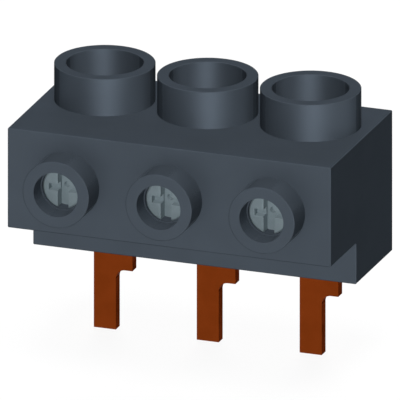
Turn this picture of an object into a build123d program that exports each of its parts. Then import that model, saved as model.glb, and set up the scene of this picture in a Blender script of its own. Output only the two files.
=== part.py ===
"""Three-pole infeed terminal block for comb busbars.

A moulded housing carries three round cable funnels on top and three screw bosses in front.
In each pole a cable goes down through its funnel into a steel clamp cage. The clamp screw turns
in its boss and pulls the cage forward, and the cage presses the cable against a copper bar. The
bar steps back in the lower part of the housing and leaves it as a plug-in pin with a hooked root.

Frame, in millimetres: the origin is the middle pin's centre on the seating face, +X to the
right, +Y to the back, +Z up. The pins point down and the screws face -Y.
"""
from build123d import *
import os

# Poles
POLE_NAMES = ("left", "middle", "right")
POLE_PITCH = 14.335

# Clamp cage, folded from one strip of steel
CAGE_SHEET = 1.2
CAGE_INNER_WIDTH = 9.63
CAGE_HEIGHT = 7.0
CAGE_BEND = 0.4  # inner radius of its folds
CAGE_LAYER_GAP = 0.1  # between the two layers of its front wall
CAGE_TRAVEL = 5.1  # forward, from open to its closest grip
WIRE_SPACE = 8.4  # front to back, between the bar and the open cage

# Clamp screw
HEAD_RADIUS = 2.825
HEAD_HEIGHT = 2.2
HEAD_PROUD = 1.25  # how far its face stands in front of the housing's front
HEAD_CHAMFER = 0.2
HEAD_LEAD = 0.1  # how far its close-fitting pocket reaches in front of its face
SHANK_RADIUS = 2.45  # over the thread's crests
TIP_CHAMFER = 0.8
SLOT_WIDTH = 1.5
SLOT_DEPTH = 1.65
CROSS_WIDTH = 0.95  # of the wings across the slot
CROSS_REACH = 2.0  # from the screw's axis to the end of a wing
CROSS_DEPTH = 1.2
PIT_RADIUS = 0.7  # of the tapered hole in the middle, at the head's face
PIT_FOOT_RADIUS = 0.3
PIT_DEPTH = 2.3

# Contact bar, stamped and bent from copper strip
BAR_THICKNESS = 1.5
BAR_BEND = 0.8  # inner radius of its bends
BAR_STEP = 4.8  # how far the pin's plane lies behind the clamped part
BAR_HEAD_HEIGHT = 1.55
BAR_NOTCH_SIDE = 0.9  # how far the wire notch stays inside the bar's edge
PIN_WIDTH = 3.07
PIN_ROOT_WIDTH = 5.385
PIN_SHOULDER_DROP = 4.0  # from the seating face down to the root's shoulder
PIN_DROP = 12.39  # from the seating face down to the pin's tip
PIN_INNER_RADIUS = 1.3
CONDUCTOR_RADIUS = 3.3  # thickest conductor, which sets the funnel behind the bar
GRIP_GROOVES = 4
GRIP_PITCH = 1.3
GRIP_DEPTH = 0.25

# Housing
TOP_WALL = 1.5
FRONT_WALL = 1.5
SIDE_WALL = 1.75
SEAT_WALL = 1.4  # the seating face's wall
STEP_WALL = 1.3  # the two walls of the step under the front
STEP_DEPTH = 9.75  # how far the lower block stands back
STEP_HEIGHT = 5.7
EDGE_BREAK = 0.1
FUNNEL_BORE = 5.075  # radius
FUNNEL_WALL = 1.575
FUNNEL_HEIGHT = 5.14
BOSS_BORE = 3.065  # radius
BOSS_WALL = 1.535
BOSS_HEIGHT = 4.07
NECK_LENGTH = 1.0  # the wall that the shank turns in
RIM_CHAMFER = 0.08
BAR_RIB = 1.0  # thickness of the ribs before and behind the bar's head
BAR_RIB_REACH = 1.5

# Rear cover
COVER_THICKNESS = 1.6
STOP_RIB_HEIGHT = 0.7
STOP_RIB_WIDTH = 1.0
STOP_RIB_SPACING = 6.0
FINGER_GUSSET = 1.5
RIDGE_RADIUS = 0.35
RIDGE_LENGTH = 6.0

# Clearances
CAGE_SIDE_GAP = 0.4
CAGE_END_GAP = 0.2
CAGE_STOP_GAP = 0.28
CAGE_TOP_GAP = 0.3
CAGE_BOTTOM_GAP = 0.5
BAR_SIDE_GAP = 0.4
SEAT_GAP = 0.1
COVER_GAP = 0.1
HEAD_FIT = 0.06  # radial, running
SHANK_FIT = 0.05  # radial, running
HEAD_REST_GAP = 0.05
TIP_GAP = 0.1

# Widths, from the cage outwards
CAGE_WIDTH = CAGE_INNER_WIDTH + 2 * CAGE_SHEET
CHAMBER_WIDTH = CAGE_WIDTH + 2 * CAGE_SIDE_GAP
BAR_WIDTH = CAGE_INNER_WIDTH - 2 * BAR_SIDE_GAP
BAR_HEAD_WIDTH = CHAMBER_WIDTH - 2 * SEAT_GAP
POLE_XS = [(i - (len(POLE_NAMES) - 1) / 2) * POLE_PITCH for i in range(len(POLE_NAMES))]
RECESS_WIDTH = POLE_XS[-1] - POLE_XS[0] + CHAMBER_WIDTH
BODY_WIDTH = RECESS_WIDTH + 2 * SIDE_WALL
PIN_LEFT = -PIN_WIDTH / 2  # the straight left edge of tang and root, from the pole's middle
PIN_RIGHT = PIN_LEFT + PIN_ROOT_WIDTH

# Depths behind the front face, from front to back
HEAD_SEAT = HEAD_HEIGHT - HEAD_PROUD + HEAD_REST_GAP
PAD_FACE = HEAD_SEAT + NECK_LENGTH
CAGE_FRONT_WALL = 2 * CAGE_SHEET + CAGE_LAYER_GAP
CAGE_FRONT = PAD_FACE + CAGE_END_GAP + CAGE_TRAVEL
BAR_FRONT = CAGE_FRONT + CAGE_FRONT_WALL + CAGE_END_GAP
BAR_BACK = BAR_FRONT + BAR_THICKNESS
FUNNEL_AXIS = BAR_BACK + CONDUCTOR_RADIUS
CAGE_INNER_BACK = BAR_BACK + WIRE_SPACE
CAGE_BACK = CAGE_INNER_BACK + CAGE_SHEET
COVER_FRONT = CAGE_BACK + CAGE_STOP_GAP + STOP_RIB_HEIGHT
BODY_DEPTH = COVER_FRONT + COVER_THICKNESS
PIN_FRONT = BAR_FRONT + BAR_STEP
PIN_BACK = PIN_FRONT + BAR_THICKNESS
PIN_PLANE = (PIN_FRONT + PIN_BACK) / 2

# Heights above the seating face
STEP_FLOOR = STEP_HEIGHT + STEP_WALL
LEG_BOTTOM = STEP_FLOOR + SEAT_GAP
LEG_TOP = LEG_BOTTOM + BAR_THICKNESS
CAGE_BOTTOM = LEG_TOP + CAGE_BOTTOM_GAP
CAGE_TOP = CAGE_BOTTOM + CAGE_HEIGHT
SCREW_AXIS = (CAGE_BOTTOM + CAGE_TOP) / 2
BAR_HEAD_BOTTOM = CAGE_TOP + CAGE_TOP_GAP
BAR_TOP = BAR_HEAD_BOTTOM + BAR_HEAD_HEIGHT
CEILING = BAR_TOP + SEAT_GAP
BODY_HEIGHT = CEILING + TOP_WALL


def y_at(depth):
    """Turn a depth behind the front face into a place on the Y axis."""
    return depth - PIN_PLANE


def across(outline, width, x=0.0):
    """Extrude a closed side outline of (depth, height) points to both sides of x."""
    points = [(y_at(depth), height) for depth, height in outline]
    face = Plane.YZ * make_face(Polyline(*points, close=True))
    return Pos(x, 0, 0) * extrude(face, amount=width / 2, both=True)


def through(outline, depth_from, depth_to, x=0.0):
    """Extrude a closed front outline of (x, height) points from one depth to another."""
    face = Plane.XZ * make_face(Polyline(*outline, close=True))
    return Pos(x, y_at(depth_from), 0) * extrude(face, amount=depth_from - depth_to)


def slab(half_width, depth_from, depth_to, bottom, top, x=0.0):
    """A rectangular body, centred on x."""
    outline = [(depth_from, bottom), (depth_to, bottom), (depth_to, top), (depth_from, top)]
    return across(outline, 2 * half_width, x)


def upright(radius, x, bottom, top):
    """A vertical cylinder on a funnel's axis."""
    height = top - bottom
    return Pos(x, y_at(FUNNEL_AXIS), (bottom + top) / 2) * Cylinder(radius, height)


def level(radius, x, depth_from, depth_to):
    """A cylinder on a screw's axis, from one depth to another."""
    length = depth_to - depth_from
    middle = y_at((depth_from + depth_to) / 2)
    return Pos(x, middle, SCREW_AXIS) * Rot(90, 0, 0) * Cylinder(radius, length)


def rim_edge(tube, axis, end):
    """The round edge at the first (0) or last (-1) end of a cylinder along an axis."""
    return tube.edges().filter_by(GeomType.CIRCLE).group_by(axis)[end]


def funnel(x):
    """The outside of one cable funnel, with its rim's outer edge broken."""
    tube = upright(FUNNEL_BORE + FUNNEL_WALL, x, CEILING, BODY_HEIGHT + FUNNEL_HEIGHT)
    return chamfer(rim_edge(tube, Axis.Z, -1), RIM_CHAMFER)


def funnel_bore(x):
    """The straight bore down through the funnel and the top wall, with a broken mouth."""
    top = BODY_HEIGHT + FUNNEL_HEIGHT
    mouth = Pos(x, y_at(FUNNEL_AXIS), top - RIM_CHAMFER / 2)
    mouth *= Cone(FUNNEL_BORE, FUNNEL_BORE + RIM_CHAMFER, RIM_CHAMFER)
    return upright(FUNNEL_BORE, x, CEILING - SEAT_GAP, top) + mouth


def boss(x):
    """The outside of one screw boss, with its face's outer edge broken."""
    ring = level(BOSS_BORE + BOSS_WALL, x, -BOSS_HEIGHT, FRONT_WALL / 2)
    return chamfer(rim_edge(ring, Axis.Y, 0), RIM_CHAMFER)


def screw_bore(x):
    """The driver's bore, the pocket that the head turns in and the neck behind it."""
    step = -HEAD_PROUD - HEAD_LEAD
    bore = level(BOSS_BORE, x, -BOSS_HEIGHT, step)
    pocket = level(HEAD_RADIUS + HEAD_FIT, x, step, HEAD_SEAT)
    neck = level(SHANK_RADIUS + 2 * SHANK_FIT, x, HEAD_SEAT, PAD_FACE)
    return bore + pocket + neck


def chamber(x):
    """The hollow of one pole: cage space above, bar space behind the step below."""
    outline = [
        (FRONT_WALL, STEP_FLOOR),
        (STEP_DEPTH + STEP_WALL, STEP_FLOOR),
        (STEP_DEPTH + STEP_WALL, SEAT_WALL),
        (COVER_FRONT, SEAT_WALL),
        (COVER_FRONT, CEILING),
        (FRONT_WALL, CEILING),
    ]
    return across(outline, CHAMBER_WIDTH, x)


def bar_ribs(x):
    """Four ribs under the ceiling that hold the ears of the bar's head from front and back."""
    ribs = []
    for side in (-1, 1):
        middle = x + side * (CHAMBER_WIDTH - BAR_RIB_REACH) / 2
        for front in (BAR_FRONT - SEAT_GAP - BAR_RIB, BAR_BACK + SEAT_GAP):
            rib = slab(BAR_RIB_REACH / 2, front, front + BAR_RIB, BAR_HEAD_BOTTOM, CEILING, middle)
            ribs.append(rib)
    return ribs


def pin_slot(x):
    """The slot for a pin's root, open to the rear so that the bar can be laid in."""
    half = PIN_ROOT_WIDTH / 2 + SEAT_GAP
    front = PIN_FRONT - SEAT_GAP
    return slab(half, front, BODY_DEPTH, 0, SEAT_WALL, x + (PIN_LEFT + PIN_RIGHT) / 2)


def snap_ridges(radius, length):
    """The half-round ridges along the cover's top and bottom edges, or their grooves."""
    middle = y_at(COVER_FRONT + COVER_THICKNESS / 2)
    places = [(x, CEILING - COVER_GAP) for x in POLE_XS]
    places += [(x, SEAT_WALL + COVER_GAP) for x in (-POLE_PITCH / 2, POLE_PITCH / 2)]
    bar = Rot(0, 90, 0) * Cylinder(radius, length)
    return [Pos(x, middle, z) * bar for x, z in places]


def housing():
    """The moulded shell, open at the back, with funnels, bosses and three chambers."""
    outline = [
        (0, STEP_HEIGHT),
        (STEP_DEPTH, STEP_HEIGHT),
        (STEP_DEPTH, 0),
        (BODY_DEPTH, 0),
        (BODY_DEPTH, BODY_HEIGHT),
        (0, BODY_HEIGHT),
    ]
    shell = across(outline, BODY_WIDTH)
    shell = chamfer(shell.edges(), EDGE_BREAK)
    shell += [funnel(x) for x in POLE_XS] + [boss(x) for x in POLE_XS]
    shell -= [chamber(x) for x in POLE_XS]
    shell -= slab(RECESS_WIDTH / 2, COVER_FRONT, BODY_DEPTH, SEAT_WALL, CEILING)
    shell += [level(BOSS_BORE + BOSS_WALL, x, FRONT_WALL / 2, PAD_FACE) for x in POLE_XS]
    for x in POLE_XS:
        shell += bar_ribs(x)
    shell -= [screw_bore(x) for x in POLE_XS] + [funnel_bore(x) for x in POLE_XS]
    shell -= [pin_slot(x) for x in POLE_XS]
    shell -= snap_ridges(RIDGE_RADIUS + COVER_GAP, RIDGE_LENGTH + 2 * COVER_GAP)
    return shell


def cover_finger(x):
    """The tongue that closes a pin's slot behind the pin, with its gusset above."""
    top = SEAT_WALL + COVER_GAP
    front = PIN_BACK + SEAT_GAP
    outline = [
        (front, 0),
        (BODY_DEPTH, 0),
        (BODY_DEPTH, top),
        (COVER_FRONT, top + FINGER_GUSSET),
        (front + FINGER_GUSSET, SEAT_WALL),
        (front, SEAT_WALL),
    ]
    return across(outline, PIN_ROOT_WIDTH, x + (PIN_LEFT + PIN_RIGHT) / 2)


def rear_cover():
    """The plate that closes the back, with cage stops, slot tongues and snap ridges."""
    half = RECESS_WIDTH / 2 - COVER_GAP
    plate = slab(half, COVER_FRONT, BODY_DEPTH, SEAT_WALL + COVER_GAP, CEILING - COVER_GAP)
    plate = chamfer(plate.edges().filter_by(Axis.Y), EDGE_BREAK)
    for x in POLE_XS:
        for side in (-1, 1):
            place = x + side * STOP_RIB_SPACING / 2
            front = COVER_FRONT - STOP_RIB_HEIGHT
            plate += slab(STOP_RIB_WIDTH / 2, front, COVER_FRONT, CAGE_BOTTOM, CAGE_TOP, place)
        plate += cover_finger(x)
    plate += snap_ridges(RIDGE_RADIUS, RIDGE_LENGTH)
    return plate


def grip_grooves(x, depth, away):
    """Shallow cross grooves in a gripping face at a depth, cut in the direction of away."""
    cuts = []
    for i in range(GRIP_GROOVES):
        z = SCREW_AXIS + (i - (GRIP_GROOVES - 1) / 2) * GRIP_PITCH
        outline = [
            (depth - away * GRIP_DEPTH, z - 2 * GRIP_DEPTH),
            (depth + away * GRIP_DEPTH, z),
            (depth - away * GRIP_DEPTH, z + 2 * GRIP_DEPTH),
        ]
        cuts.append(across(outline, CAGE_INNER_WIDTH, x))
    return cuts


def contact_bar(x):
    """One bar: notched head, clamped part, step back, and the pin with its hooked root."""
    radius = BAR_BEND + BAR_THICKNESS / 2
    leg = (LEG_BOTTOM + LEG_TOP) / 2
    front = y_at((BAR_FRONT + BAR_BACK) / 2)
    path = FilletPolyline(
        (x, front, BAR_TOP),
        (x, front, leg),
        (x, 0, leg),
        (x, 0, -PIN_DROP),
        radius=radius,
    )
    section = Plane((x, front, BAR_TOP), x_dir=(1, 0, 0), z_dir=(0, 0, -1))
    strip = sweep(section * Rectangle(BAR_HEAD_WIDTH, BAR_THICKNESS), path=path)
    return strip & bar_blank(x) - grip_grooves(x, BAR_BACK, -1)


def bar_blank(x):
    """The bar's outline as stamped, seen from the front, cut through the whole depth."""
    head, half = BAR_HEAD_WIDTH / 2, BAR_WIDTH / 2
    tang = PIN_LEFT + PIN_WIDTH
    shoulder = SEAT_WALL + SEAT_GAP
    outline = [
        (-head, BAR_TOP),
        (-head, BAR_HEAD_BOTTOM),
        (-half, BAR_HEAD_BOTTOM),
        (-half, shoulder),
        (PIN_LEFT, shoulder),
        (PIN_LEFT, -PIN_DROP),
        (tang, -PIN_DROP),
        (tang, -PIN_SHOULDER_DROP),
        (PIN_RIGHT, -PIN_SHOULDER_DROP),
        (PIN_RIGHT, shoulder),
        (half, shoulder),
        (half, BAR_HEAD_BOTTOM),
        (head, BAR_HEAD_BOTTOM),
        (head, BAR_TOP),
    ]
    blank = through(outline, 0, BODY_DEPTH, x)
    hook = (x + tang, y_at(BODY_DEPTH / 2), -PIN_SHOULDER_DROP)
    corner = blank.edges().filter_by(Axis.Y).sort_by_distance(hook)[0]
    blank = fillet(corner, PIN_INNER_RADIUS)
    notch = half - BAR_NOTCH_SIDE
    rise = BAR_TOP - CAGE_TOP
    scoop = [(-notch - rise, BAR_TOP), (-notch, CAGE_TOP), (notch, CAGE_TOP), (notch + rise, BAR_TOP)]
    return blank - through(scoop, 0, BODY_DEPTH, x)


def clamp_cage(x):
    """One cage: a strip folded round the wire space, its ends doubled in front and tapped."""
    side = (CAGE_INNER_WIDTH + CAGE_SHEET) / 2
    inner_front = y_at(CAGE_FRONT + CAGE_FRONT_WALL - CAGE_SHEET / 2)
    outer_front = y_at(CAGE_FRONT + CAGE_SHEET / 2)
    back = y_at(CAGE_INNER_BACK + CAGE_SHEET / 2)
    z = SCREW_AXIS
    path = FilletPolyline(
        (x + CAGE_INNER_WIDTH / 2 - CAGE_BEND, inner_front, z),
        (x - side, inner_front, z),
        (x - side, back, z),
        (x + side, back, z),
        (x + side, outer_front, z),
        (x - CAGE_WIDTH / 2, outer_front, z),
        radius=CAGE_BEND + CAGE_SHEET / 2,
    )
    start = Plane(path @ 0, x_dir=(0, 0, 1), z_dir=path % 0)
    strip = sweep(start * Rectangle(CAGE_HEIGHT, CAGE_SHEET), path=path)
    hole = level(SHANK_RADIUS + SHANK_FIT, x, CAGE_FRONT, CAGE_FRONT + CAGE_FRONT_WALL)
    return strip - hole - grip_grooves(x, CAGE_INNER_BACK, 1)


def clamp_screw(x):
    """One screw: cylindrical head with slot and cross, shank over its crests, chamfered tip."""
    face = -HEAD_PROUD
    under = face + HEAD_HEIGHT
    tip = BAR_FRONT - TIP_GAP
    profile = [
        (0, face),
        (HEAD_RADIUS - HEAD_CHAMFER, face),
        (HEAD_RADIUS, face + HEAD_CHAMFER),
        (HEAD_RADIUS, under),
        (SHANK_RADIUS, under),
        (SHANK_RADIUS, tip - TIP_CHAMFER),
        (SHANK_RADIUS - TIP_CHAMFER, tip),
        (0, tip),
    ]
    body = revolve(make_face(Polyline(*[(r, y_at(d)) for r, d in profile], close=True)), Axis.Y)
    body = Pos(x, 0, SCREW_AXIS) * body
    return body - head_recess(x)


def head_recess(x):
    """What is pressed into the head: a slot, two wings across it and a tapered pit."""
    face = -HEAD_PROUD
    low, high = SCREW_AXIS - CROSS_WIDTH / 2, SCREW_AXIS + CROSS_WIDTH / 2
    recess = slab(SLOT_WIDTH / 2, face, face + SLOT_DEPTH, SCREW_AXIS - HEAD_RADIUS,
                  SCREW_AXIS + HEAD_RADIUS, x)
    recess += slab(CROSS_REACH, face, face + CROSS_DEPTH, low, high, x)
    pit = Rot(-90, 0, 0) * Cone(PIT_RADIUS, PIT_FOOT_RADIUS, PIT_DEPTH)
    return recess + Pos(x, y_at(face + PIT_DEPTH / 2), SCREW_AXIS) * pit


def main():
    os.makedirs("parts", exist_ok=True)
    nodes = {"housing": housing(), "rear_cover": rear_cover()}
    for name, x in zip(POLE_NAMES, POLE_XS):
        nodes[f"contact_bar_{name}"] = contact_bar(x)
        nodes[f"clamp_cage_{name}"] = clamp_cage(x)
        nodes[f"clamp_screw_{name}"] = clamp_screw(x)
    for name, shape in nodes.items():
        export_step(shape, f"parts/{name}.step")


main()
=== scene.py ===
import math

import bmesh
import bpy
from mathutils import Matrix, Vector


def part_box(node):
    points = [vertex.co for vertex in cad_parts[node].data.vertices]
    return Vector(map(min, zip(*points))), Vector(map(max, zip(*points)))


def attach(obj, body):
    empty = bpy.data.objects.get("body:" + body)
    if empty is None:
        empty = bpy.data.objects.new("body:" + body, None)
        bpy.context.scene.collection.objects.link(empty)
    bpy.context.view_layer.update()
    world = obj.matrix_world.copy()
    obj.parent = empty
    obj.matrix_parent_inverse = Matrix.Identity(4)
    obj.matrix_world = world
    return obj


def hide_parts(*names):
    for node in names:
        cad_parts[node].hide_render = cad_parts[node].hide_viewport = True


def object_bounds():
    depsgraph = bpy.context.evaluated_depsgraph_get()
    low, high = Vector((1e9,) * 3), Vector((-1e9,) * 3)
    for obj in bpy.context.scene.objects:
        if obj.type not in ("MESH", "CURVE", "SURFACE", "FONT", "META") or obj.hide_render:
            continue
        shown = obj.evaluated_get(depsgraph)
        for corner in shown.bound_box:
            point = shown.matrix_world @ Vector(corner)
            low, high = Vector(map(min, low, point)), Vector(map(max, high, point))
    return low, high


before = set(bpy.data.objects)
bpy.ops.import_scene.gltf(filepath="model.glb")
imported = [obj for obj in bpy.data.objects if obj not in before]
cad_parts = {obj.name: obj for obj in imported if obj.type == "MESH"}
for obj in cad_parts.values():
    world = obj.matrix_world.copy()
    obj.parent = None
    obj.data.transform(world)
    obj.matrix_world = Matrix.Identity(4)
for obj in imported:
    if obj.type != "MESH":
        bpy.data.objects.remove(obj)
cad_low, cad_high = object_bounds()

# Lengths below are in metres, as in the frame.
MM = 0.001
POLES = ("left", "middle", "right")
WELD = 1e-7  # points closer than this become one
CRISP_ANGLE = math.radians(35)  # edges that turn more than this are shaded crisp
SQUARE = 0.9999  # a face whose normal has a part over this lies square to an axis

# The picture: a parallel view from 20 degrees to the right and 20 degrees above
VIEW_AZIMUTH = math.radians(20)
VIEW_ELEVATION = math.radians(20)
VIEW_WIDTH = 52.36 * MM
VIEW_RIGHT_SHIFT = -1.27 * MM  # from the frame's origin to the middle of the picture
VIEW_UP_SHIFT = 6.573 * MM
CAMERA_DISTANCE = 0.4
NEAREST_SEEN = 0.01  # from the camera
FARTHEST_SEEN = 20.0

# The studio
WHITE = (1.0, 1.0, 1.0, 1.0)
BLACK = (0.0, 0.0, 0.0, 1.0)
SKY_LIGHT = 0.04  # the sky's strength as a light
FLOOR_REACH = 4.0  # from the floor's middle to its edges
FLOOR_GREY = (0.22, 0.22, 0.22, 1.0)
FLOOR_GLOW = 0.71  # what makes the floor white, with its share of the lamps' light

# Where a texture's mask starts and ends to change a colour or a roughness
COLOUR_START = 0.35
COLOUR_END = 0.65
ROUGH_START = 0.3
ROUGH_END = 0.7

# The relief of the surfaces
GRAIN_DEPTH = 0.02 * MM  # of the moulding's texture
LINE_DEPTH = 0.01 * MM  # of rolling lines, and of the screws' plating
LINE_STRETCH = (1.0, 1.0, 0.03)  # rolling lines are drawn out along Z

# The clamp screws: an M5 thread, and a slot and a cross in the head
SCREW_STEPS = 72  # round the axis
RINGS_A_TURN = 14  # along the shank, for each turn of the thread
HEAD_HEIGHT = 2.2 * MM
HEAD_CHAMFER = 0.2 * MM
CREST_RADIUS = 2.45 * MM
TIP_CHAMFER = 0.8 * MM
THREAD_PITCH = 0.8 * MM
THREAD_DEPTH = 0.42 * MM
GROOVE_FULLNESS = 1.25  # over 1, which leaves a narrow flat at the groove's floor
GROOVE_STEEPNESS = 2.9  # how fast the flanks rise, in groove depths for each turn
NECK_LENGTH = 0.5 * MM  # plain, between the head and the thread
SLOT_WIDTH = 1.5 * MM
SLOT_DEPTH = 1.65 * MM
CROSS_WIDTH = 0.95 * MM
CROSS_REACH = 2.0 * MM
CROSS_DEPTH = 1.2 * MM
PIT_STEPS = 32  # round the tapered hole in the middle
PIT_RADIUS = 0.7 * MM  # at the head's face
PIT_FOOT_RADIUS = 0.3 * MM
PIT_DEPTH = 2.3 * MM
RIM_ROUNDING = 0.04 * MM  # of the recess' edges in the head's face
RIM_ANGLE = 1.2  # radians; only the recess' edges in the face turn more than this
FACE_TOLERANCE = 1e-6


# Objects and meshes


def piece_from(bm, name):
    """Turn a finished bmesh into an object that sits at the origin."""
    mesh = bpy.data.meshes.new(name)
    bm.to_mesh(mesh)
    bm.free()
    piece = bpy.data.objects.new(name, mesh)
    bpy.context.scene.collection.objects.link(piece)
    return piece


def apply_modifiers(piece):
    """Replace the piece's mesh by what its modifiers make of it."""
    graph = bpy.context.evaluated_depsgraph_get()
    made = bpy.data.meshes.new_from_object(piece.evaluated_get(graph))
    piece.modifiers.clear()
    piece.data = made


def cut_out(piece, cutter):
    """Cut the cutter's shape out of the piece, and delete the cutter."""
    step = piece.modifiers.new("cut", "BOOLEAN")
    step.operation = "DIFFERENCE"
    step.solver = "EXACT"
    step.object = cutter
    apply_modifiers(piece)
    bpy.data.objects.remove(cutter)


def shade_by_angle(mesh):
    """Shade the mesh smooth, but faces square to an axis flat and sharp edges crisp."""
    bm = bmesh.new()
    bm.from_mesh(mesh)
    for face in bm.faces:
        face.smooth = max(abs(part) for part in face.normal) < SQUARE
    for edge in bm.edges:
        edge.smooth = len(edge.link_faces) == 2 and edge.calc_face_angle(0.0) < CRISP_ANGLE
    bm.to_mesh(mesh)
    bm.free()


def paint(piece, material):
    """Give the piece one material all over."""
    piece.data.materials.clear()
    piece.data.materials.append(material)
    for polygon in piece.data.polygons:
        polygon.material_index = 0


# Shader helpers


def add(tree, kind, values=None, **settings):
    """Add a node, with its settings and the values of its named inputs."""
    made = tree.nodes.new(kind)
    for name, value in settings.items():
        setattr(made, name, value)
    for name, value in (values or {}).items():
        made.inputs[name].default_value = value
    return made


def join(tree, source, output, target, socket):
    """Link one node's output to another's input."""
    tree.links.new(source.outputs[output], target.inputs[socket])


def new_group(name, inputs, outputs):
    """A shader node group with number sockets, and its two end nodes."""
    group = bpy.data.node_groups.new(name, "ShaderNodeTree")
    for socket in inputs:
        group.interface.new_socket(socket, in_out="INPUT", socket_type="NodeSocketFloat")
    for socket in outputs:
        group.interface.new_socket(socket, in_out="OUTPUT", socket_type="NodeSocketFloat")
    return group, group.nodes.new("NodeGroupInput"), group.nodes.new("NodeGroupOutput")


def new_material(name, values):
    """A material with one Principled shader whose named inputs are set, and its node tree."""
    material = bpy.data.materials.new(name)
    material.use_nodes = True
    shader = material.node_tree.nodes["Principled BSDF"]
    for socket, value in values.items():
        shader.inputs[socket].default_value = value
    return material, material.node_tree, shader


def build_grain_group():
    """Spark-eroded mould texture: fine pits, and a broad faint unevenness."""
    group, given, result = new_group("moulded_grain", ["Grain", "Cloud"], ["Height", "Unevenness"])
    place = add(group, "ShaderNodeTexCoord")
    pits = add(group, "ShaderNodeTexNoise", {"Detail": 2.0, "Roughness": 0.6})
    cloud = add(group, "ShaderNodeTexNoise", {"Detail": 3.0, "Roughness": 0.5})
    join(group, place, "Object", pits, "Vector")
    join(group, place, "Object", cloud, "Vector")
    join(group, given, "Grain", pits, "Scale")
    join(group, given, "Cloud", cloud, "Scale")
    join(group, pits, "Fac", result, "Height")
    join(group, cloud, "Fac", result, "Unevenness")
    return group


def build_rolled_group():
    """Rolling or drawing lines along Z, and a slow stain over them."""
    group, given, result = new_group("rolled_lines", ["Fineness", "Stain Size"], ["Lines", "Stain"])
    place = add(group, "ShaderNodeTexCoord")
    stretch = add(group, "ShaderNodeMapping", {"Scale": LINE_STRETCH})
    lines = add(group, "ShaderNodeTexNoise", {"Detail": 3.0, "Roughness": 0.7})
    stain = add(group, "ShaderNodeTexNoise", {"Detail": 2.0, "Roughness": 0.55})
    join(group, place, "Object", stretch, "Vector")
    join(group, stretch, "Vector", lines, "Vector")
    join(group, place, "Object", stain, "Vector")
    join(group, given, "Fineness", lines, "Scale")
    join(group, given, "Stain Size", stain, "Scale")
    join(group, lines, "Fac", result, "Lines")
    join(group, stain, "Fac", result, "Stain")
    return group


def vary_colour(tree, texture, mask, shader, dark, light):
    """Run the base colour from dark to light with a mask of the texture."""
    ramp = add(tree, "ShaderNodeValToRGB")
    first, last = ramp.color_ramp.elements
    first.position = COLOUR_START
    first.color = (*dark, 1.0)
    last.position = COLOUR_END
    last.color = (*light, 1.0)
    join(tree, texture, mask, ramp, "Fac")
    join(tree, ramp, "Color", shader, "Base Color")


def vary_roughness(tree, texture, mask, shader, low, high):
    """Run the roughness from low to high with a mask of the texture."""
    ends = {"From Min": ROUGH_START, "From Max": ROUGH_END, "To Min": low, "To Max": high}
    spread = add(tree, "ShaderNodeMapRange", ends)
    join(tree, texture, mask, spread, "Value")
    join(tree, spread, "Result", shader, "Roughness")


def raise_relief(tree, texture, mask, shader, strength, depth):
    """Feed a mask of the texture to the shader's normal as a height."""
    bump = add(tree, "ShaderNodeBump", {"Strength": strength, "Distance": depth})
    join(tree, texture, mask, bump, "Height")
    join(tree, bump, "Normal", shader, "Normal")


# The finishes


def slate_moulding(grain):
    """The moulding's slate-grey plastic, quite dull, with a fine spark-eroded texture."""
    gloss = {"Metallic": 0.36, "Specular IOR Level": 0.0, "Specular Tint": BLACK}
    material, tree, shader = new_material("slate_moulding", gloss)
    texture = add(tree, "ShaderNodeGroup", {"Grain": 5200.0, "Cloud": 150.0}, node_tree=grain)
    dark = (0.0515, 0.0638, 0.0790)
    light = (0.0550, 0.0682, 0.0844)
    vary_colour(tree, texture, "Unevenness", shader, dark, light)
    vary_roughness(tree, texture, "Height", shader, 0.45, 0.51)
    raise_relief(tree, texture, "Height", shader, 0.3, GRAIN_DEPTH)
    return material


def strip_copper(rolled):
    """The bars' rolled copper: brown-red with rolling lines, dark where it is seen at a slant."""
    gloss = {"Metallic": 0.6, "Specular IOR Level": 0.0, "Specular Tint": (0.12, 0.30, 0.35, 1.0)}
    material, tree, shader = new_material("strip_copper", gloss)
    texture = add(tree, "ShaderNodeGroup", {"Fineness": 9000.0, "Stain Size": 420.0}, node_tree=rolled)
    dark = (0.134, 0.0240, 0.0034)
    light = (0.148, 0.0268, 0.0041)
    vary_colour(tree, texture, "Stain", shader, dark, light)
    vary_roughness(tree, texture, "Lines", shader, 0.40, 0.52)
    raise_relief(tree, texture, "Lines", shader, 0.25, LINE_DEPTH)
    return material


def plated_strip(rolled):
    """The cages' zinc-plated strip steel."""
    material, tree, shader = new_material("plated_strip", {"Metallic": 0.9})
    texture = add(tree, "ShaderNodeGroup", {"Fineness": 7000.0, "Stain Size": 600.0}, node_tree=rolled)
    dark = (0.40, 0.44, 0.46)
    light = (0.47, 0.51, 0.53)
    vary_colour(tree, texture, "Stain", shader, dark, light)
    vary_roughness(tree, texture, "Lines", shader, 0.30, 0.45)
    raise_relief(tree, texture, "Lines", shader, 0.2, LINE_DEPTH)
    return material


def plated_screw(grain):
    """The screws' zinc plating, satin, a little cloudy."""
    material, tree, shader = new_material("plated_screw", {"Metallic": 0.35, "Specular IOR Level": 0.0})
    texture = add(tree, "ShaderNodeGroup", {"Grain": 9000.0, "Cloud": 900.0}, node_tree=grain)
    dark = (0.154, 0.194, 0.211)
    light = (0.169, 0.210, 0.229)
    vary_colour(tree, texture, "Unevenness", shader, dark, light)
    vary_roughness(tree, texture, "Height", shader, 0.40, 0.52)
    raise_relief(tree, texture, "Height", shader, 0.1, LINE_DEPTH)
    return material


def paint_cad(materials):
    """Give every CAD node the material whose key its name starts with."""
    for name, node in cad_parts.items():
        for start, material in materials.items():
            if name.startswith(start):
                paint(node, material)


# The clamp screws


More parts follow.
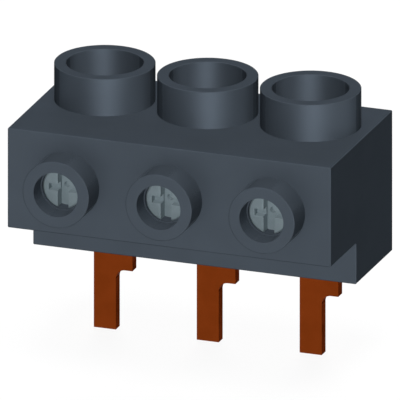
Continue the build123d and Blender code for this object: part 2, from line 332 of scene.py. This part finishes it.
def lathe(outline):
    """Turn an outline of (radius, place) points round the Y axis, as on a lathe."""
    bm = bmesh.new()
    points = [bm.verts.new((radius, place, 0)) for radius, place in outline]
    edges = [bm.edges.new(pair) for pair in zip(points, points[1:])]
    bmesh.ops.spin(
        bm,
        geom=points + edges,
        cent=(0, 0, 0),
        axis=(0, 1, 0),
        angle=math.tau,
        steps=SCREW_STEPS,
        use_merge=True,
    )
    bmesh.ops.remove_doubles(bm, verts=bm.verts, dist=WELD)
    return bm


def turned_blank(face, tip, head_radius):
    """The screw before its thread: head, shank and chamfered tip, with rings for the thread."""
    under = face + HEAD_HEIGHT
    rings = round((tip - under) / THREAD_PITCH * RINGS_A_TURN)
    shank_end = tip - TIP_CHAMFER
    outline = [
        (0, face),
        (head_radius - HEAD_CHAMFER, face),
        (head_radius, face + HEAD_CHAMFER),
        (head_radius, under),
    ]
    for ring in range(rings + 1):
        place = under + (tip - under) * ring / rings
        outline.append((CREST_RADIUS - max(0.0, place - shank_end), place))
    outline.append((0, tip))
    return lathe(outline)


def cut_thread(bm, start):
    """Press a right-hand thread into the shank behind a place, running out at the head."""
    for point in bm.verts:
        radius = math.hypot(point.co.x, point.co.z)
        at_axis = radius < CREST_RADIUS / 2
        if point.co.y < start or at_axis:
            continue
        turn = math.atan2(point.co.z, point.co.x) / math.tau
        phase = (point.co.y / THREAD_PITCH + turn) % 1.0
        groove = min(1.0, max(0.0, GROOVE_FULLNESS - abs(phase - 0.5) * GROOVE_STEEPNESS))
        fade = min(1.0, (point.co.y - start) / THREAD_PITCH)
        cut = min(radius, CREST_RADIUS - THREAD_DEPTH * groove * fade)
        point.co.x *= cut / radius
        point.co.z *= cut / radius


def cutter_box(width, depth, height, face):
    """A box that reaches a depth into the head, and as far out in front of its face."""
    bm = bmesh.new()
    bmesh.ops.create_cube(bm, size=1.0)
    bmesh.ops.scale(bm, vec=(width, 2 * depth, height), verts=bm.verts)
    bmesh.ops.translate(bm, vec=(0, face, 0), verts=bm.verts)
    return piece_from(bm, "cutter")


def cutter_pit(face):
    """The cone of the recess' middle, which goes on at its slope as far out as it is deep."""
    bm = bmesh.new()
    outer_radius = 2 * PIT_RADIUS - PIT_FOOT_RADIUS
    bmesh.ops.create_cone(
        bm,
        cap_ends=True,
        segments=PIT_STEPS,
        radius1=outer_radius,
        radius2=PIT_FOOT_RADIUS,
        depth=2 * PIT_DEPTH,
    )
    bmesh.ops.rotate(bm, matrix=Matrix.Rotation(math.radians(-90), 3, "X"), verts=bm.verts)
    bmesh.ops.translate(bm, vec=(0, face, 0), verts=bm.verts)
    return piece_from(bm, "cutter")


def soften_recess(mesh, face):
    """Round the edges of the slot and the cross in the head's face."""
    bm = bmesh.new()
    bm.from_mesh(mesh)
    bmesh.ops.remove_doubles(bm, verts=bm.verts, dist=WELD)
    rims = []
    for edge in bm.edges:
        in_face = all(abs(point.co.y - face) < FACE_TOLERANCE for point in edge.verts)
        if in_face and edge.is_manifold and edge.calc_face_angle() > RIM_ANGLE:
            rims.append(edge)
    bmesh.ops.bevel(
        bm,
        geom=rims,
        offset=RIM_ROUNDING,
        affect="EDGES",
        segments=2,
        profile=0.5,
        material=-1,
    )
    bm.to_mesh(mesh)
    bm.free()


def screw_master(face, tip, head_radius):
    """One whole screw on the Y axis, threaded and with its recess."""
    bm = turned_blank(face, tip, head_radius)
    cut_thread(bm, face + HEAD_HEIGHT + NECK_LENGTH)
    bmesh.ops.recalc_face_normals(bm, faces=bm.faces)
    screw = piece_from(bm, "screw_master")
    slot_length = 3 * head_radius  # past both sides of the head
    cut_out(screw, cutter_box(SLOT_WIDTH, SLOT_DEPTH, slot_length, face))
    cut_out(screw, cutter_box(2 * CROSS_REACH, CROSS_DEPTH, CROSS_WIDTH, face))
    cut_out(screw, cutter_pit(face))
    soften_recess(screw.data, face)
    shade_by_angle(screw.data)
    return screw


def add_screws(material):
    """Set the threaded screw in place of each plain one."""
    low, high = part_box("clamp_screw_middle")
    master = screw_master(low.y, high.y, (high.x - low.x) / 2)
    paint(master, material)
    for pole in POLES:
        node = f"clamp_screw_{pole}"
        low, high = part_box(node)
        screw = bpy.data.objects.new(f"threaded_screw_{pole}", master.data.copy())
        bpy.context.scene.collection.objects.link(screw)
        screw.data.transform(Matrix.Translation(((low.x + high.x) / 2, 0, (low.z + high.z) / 2)))
        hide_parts(node)
        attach(screw, f"screw_{pole}")
    bpy.data.objects.remove(master)


# The studio


def direction(azimuth, elevation):
    """The unit vector from the object towards an azimuth and elevation."""
    flat = math.cos(elevation)
    return Vector((math.sin(azimuth) * flat, -math.cos(azimuth) * flat, math.sin(elevation)))


def add_camera():
    """The parallel camera of the picture."""
    back = direction(VIEW_AZIMUTH, VIEW_ELEVATION)
    right = Vector((math.cos(VIEW_AZIMUTH), math.sin(VIEW_AZIMUTH), 0))
    up = back.cross(right)
    lens = bpy.data.cameras.new("camera")
    lens.type = "ORTHO"
    lens.ortho_scale = VIEW_WIDTH
    lens.clip_start = NEAREST_SEEN
    lens.clip_end = FARTHEST_SEEN
    camera = bpy.data.objects.new("camera", lens)
    bpy.context.scene.collection.objects.link(camera)
    turn = Matrix((right, up, back)).transposed().to_4x4()
    place = right * VIEW_RIGHT_SHIFT + up * VIEW_UP_SHIFT + back * CAMERA_DISTANCE
    camera.matrix_world = Matrix.Translation(place) @ turn
    bpy.context.scene.camera = camera


def seen_directly(tree):
    """1 for the rays of the camera, of gloss and of glass, and 0 for the light on matt surfaces."""
    light = add(tree, "ShaderNodeLightPath")
    camera_or_gloss = add(tree, "ShaderNodeMath", operation="MAXIMUM")
    any_of_three = add(tree, "ShaderNodeMath", operation="MAXIMUM")
    join(tree, light, "Is Camera Ray", camera_or_gloss, 0)
    join(tree, light, "Is Glossy Ray", camera_or_gloss, 1)
    join(tree, camera_or_gloss, 0, any_of_three, 0)
    join(tree, light, "Is Transmission Ray", any_of_three, 1)
    return any_of_three


def add_world():
    """A plain sky: white where the camera, gloss or glass sees it, dimmer as a light."""
    world = bpy.data.worlds.new("studio")
    bpy.context.scene.world = world
    world.use_nodes = True
    tree = world.node_tree
    sky = tree.nodes["Background"]
    sky.inputs["Color"].default_value = WHITE
    spread = add(tree, "ShaderNodeMapRange", {"To Min": SKY_LIGHT, "To Max": 1.0})
    join(tree, seen_directly(tree), 0, spread, "Value")
    join(tree, spread, "Result", sky, "Strength")


def add_floor():
    """A wide pale floor at the pins' tips: white to the camera, with the object's shadow."""
    bm = bmesh.new()
    bmesh.ops.create_grid(bm, x_segments=1, y_segments=1, size=FLOOR_REACH)
    bmesh.ops.translate(bm, verts=bm.verts, vec=(0, 0, cad_low.z))
    floor = piece_from(bm, "floor")
    matt = {"Base Color": FLOOR_GREY, "Roughness": 0.9, "Specular IOR Level": 0.0, "Emission Color": WHITE}
    material, tree, shader = new_material("pale_floor", matt)
    glow = add(tree, "ShaderNodeMath", operation="MULTIPLY")
    join(tree, seen_directly(tree), 0, glow, 0)
    glow.inputs[1].default_value = FLOOR_GLOW
    join(tree, glow, 0, shader, "Emission Strength")
    paint(floor, material)


def add_sun(name, azimuth, elevation, strength, softness, shadow=True, diffuse=True, gloss=True):
    """A soft distant lamp; azimuth 0 shines from the front, and 90 from the right."""
    lamp = bpy.data.lights.new(name, "SUN")
    lamp.energy = strength
    lamp.angle = math.radians(softness)
    lamp.use_shadow = shadow
    sun = bpy.data.objects.new(name, lamp)
    sun.visible_diffuse = diffuse
    sun.visible_glossy = gloss
    bpy.context.scene.collection.objects.link(sun)
    towards = direction(math.radians(azimuth), math.radians(elevation))
    sun.rotation_euler = towards.to_track_quat("Z", "Y").to_euler()


def add_lamps():
    """The lamps: azimuth and elevation in degrees, strength, and softness in degrees."""
    matt_only = {"shadow": False, "gloss": False}
    gloss_only = {"shadow": False, "diffuse": False}
    add_sun("front_fill", 21.0, -15.0, 1.91, 40.0, **matt_only)
    add_sun("front_sheen", 25.0, -18.0, 4.2, 48.0, **gloss_only)
    add_sun("right_sheen", 88.0, -18.0, 1.6, 40.0, **gloss_only)
    add_sun("top", 20.0, 80.0, 0.7, 30.0, gloss=False)
    add_sun("top_fill", 20.0, 76.0, 3.3, 30.0, **matt_only)
    add_sun("back", 200.0, 15.0, 1.57, 40.0)


add_camera()
add_world()
add_floor()
add_lamps()
bpy.context.scene.view_settings.view_transform = "Standard"

grain = build_grain_group()
rolled = build_rolled_group()
plastic = slate_moulding(grain)
paint_cad({
    "housing": plastic,
    "rear_cover": plastic,
    "contact_bar": strip_copper(rolled),
    "clamp_cage": plated_strip(rolled),
})
add_screws(plated_screw(grain))
